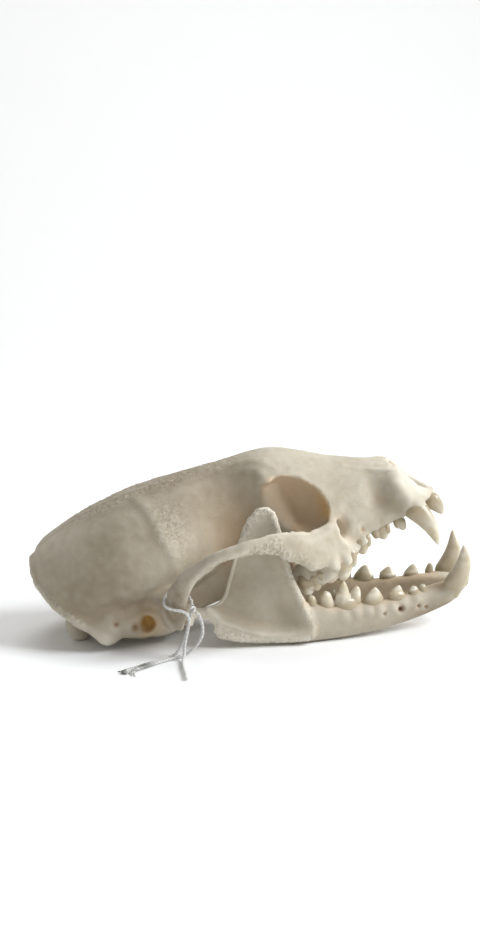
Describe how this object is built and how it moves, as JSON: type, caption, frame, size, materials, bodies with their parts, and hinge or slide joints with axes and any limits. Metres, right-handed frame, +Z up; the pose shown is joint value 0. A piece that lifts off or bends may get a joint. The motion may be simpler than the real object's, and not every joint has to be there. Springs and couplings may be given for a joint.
{
  "type": "fisher skull",
  "caption": "Life-size fisher skull with its lower jaws, mouth open, resting on the jaws and the back of the braincase, with a cotton string knotted round the right cheek arch.",
  "frame": {"origin": "on the table, at the middle of the bone's length and width", "axes": "+X towards the snout, +Y towards the animal's left, +Z up from the table"},
  "size_m": [0.1236, 0.0795, 0.0512],
  "materials": {
    "bone": "dry, matt, finely porous ivory bone, with smoother and glossier teeth",
    "cotton": "twisted white cotton, soft and matt"
  },
  "bodies": {
    "root": {"cranium": "bone", "mandible_right": "bone", "mandible_left": "bone", "string_knot": "cotton", "string_loop": "cotton", "string_bight": "cotton", "string_tail": "cotton"}
  },
  "joints": []
}
